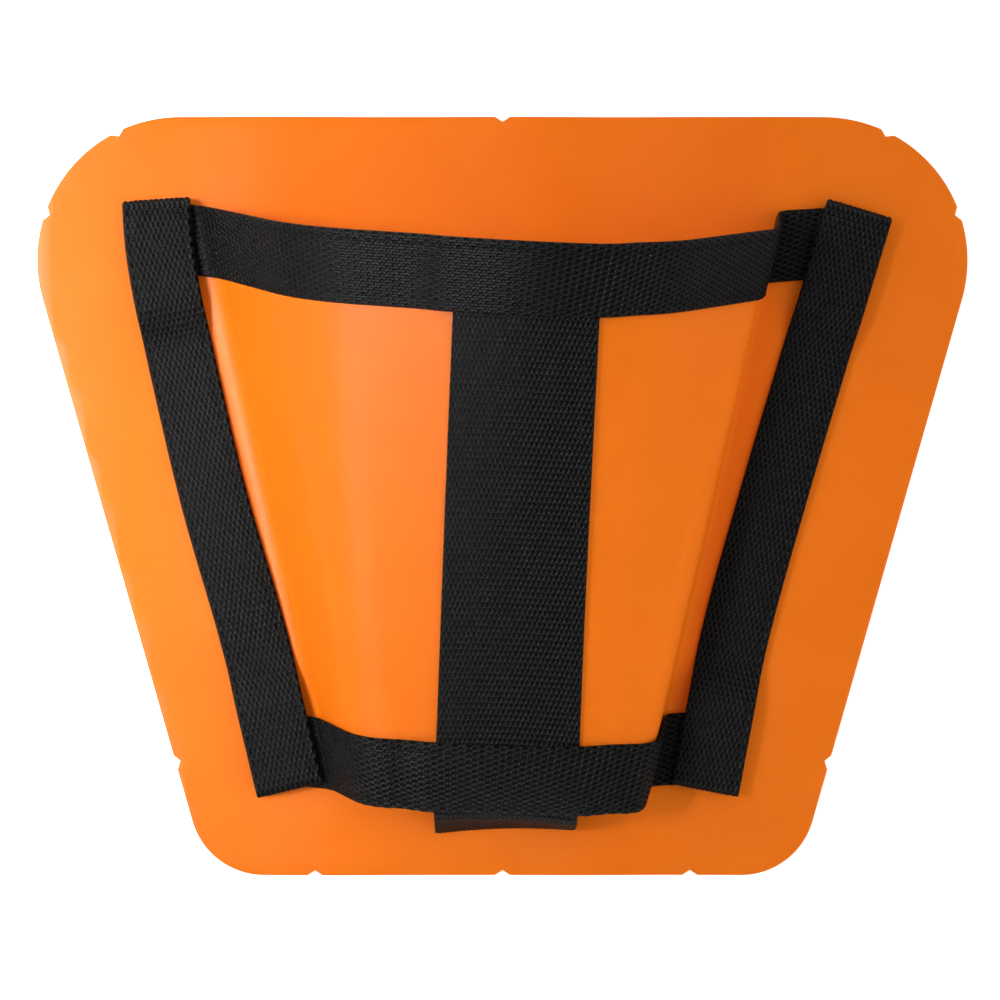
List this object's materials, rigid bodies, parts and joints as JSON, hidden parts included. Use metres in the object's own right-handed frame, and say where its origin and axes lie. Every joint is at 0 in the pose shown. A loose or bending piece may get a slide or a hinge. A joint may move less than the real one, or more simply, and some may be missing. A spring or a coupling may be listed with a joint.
{
  "type": "foot cup patch",
  "caption": "Glue-on orange coated-fabric patch for an inflatable boat, with a raised fabric tunnel for a foot under a sewn cage of black webbing straps.",
  "frame": {"origin": "centre of the patch's outline, on its flat underside", "axes": "+X across the patch (its longest extent), +Y towards the tunnel's open mouth, +Z out of the patch, away from the boat"},
  "size_m": [0.3376, 0.2752, 0.086],
  "materials": {
    "coated_fabric": "satin PVC coating",
    "webbing": "matte woven polyester",
    "thread": "bonded sewing thread"
  },
  "bodies": {
    "root": {"base_patch": "coated_fabric", "tunnel_panel": "coated_fabric", "instep_band": "webbing", "toe_band": "webbing", "centre_strap": "webbing", "left_side_strap": "webbing", "right_side_strap": "webbing", "left_strap_seam_inner": "thread", "left_strap_seam_outer": "thread", "left_box_stitch_mouth": "thread", "left_box_stitch_toe": "thread", "right_strap_seam_inner": "thread", "right_strap_seam_outer": "thread", "right_box_stitch_mouth": "thread", "right_box_stitch_toe": "thread", "centre_strap_seam_left": "thread", "centre_strap_seam_right": "thread", "centre_strap_crossing": "thread", "instep_band_seam_upper": "thread", "instep_band_seam_lower": "thread", "toe_band_seam_upper": "thread", "toe_band_seam_lower": "thread", "toe_foot_stitch": "thread"}
  },
  "joints": []
}
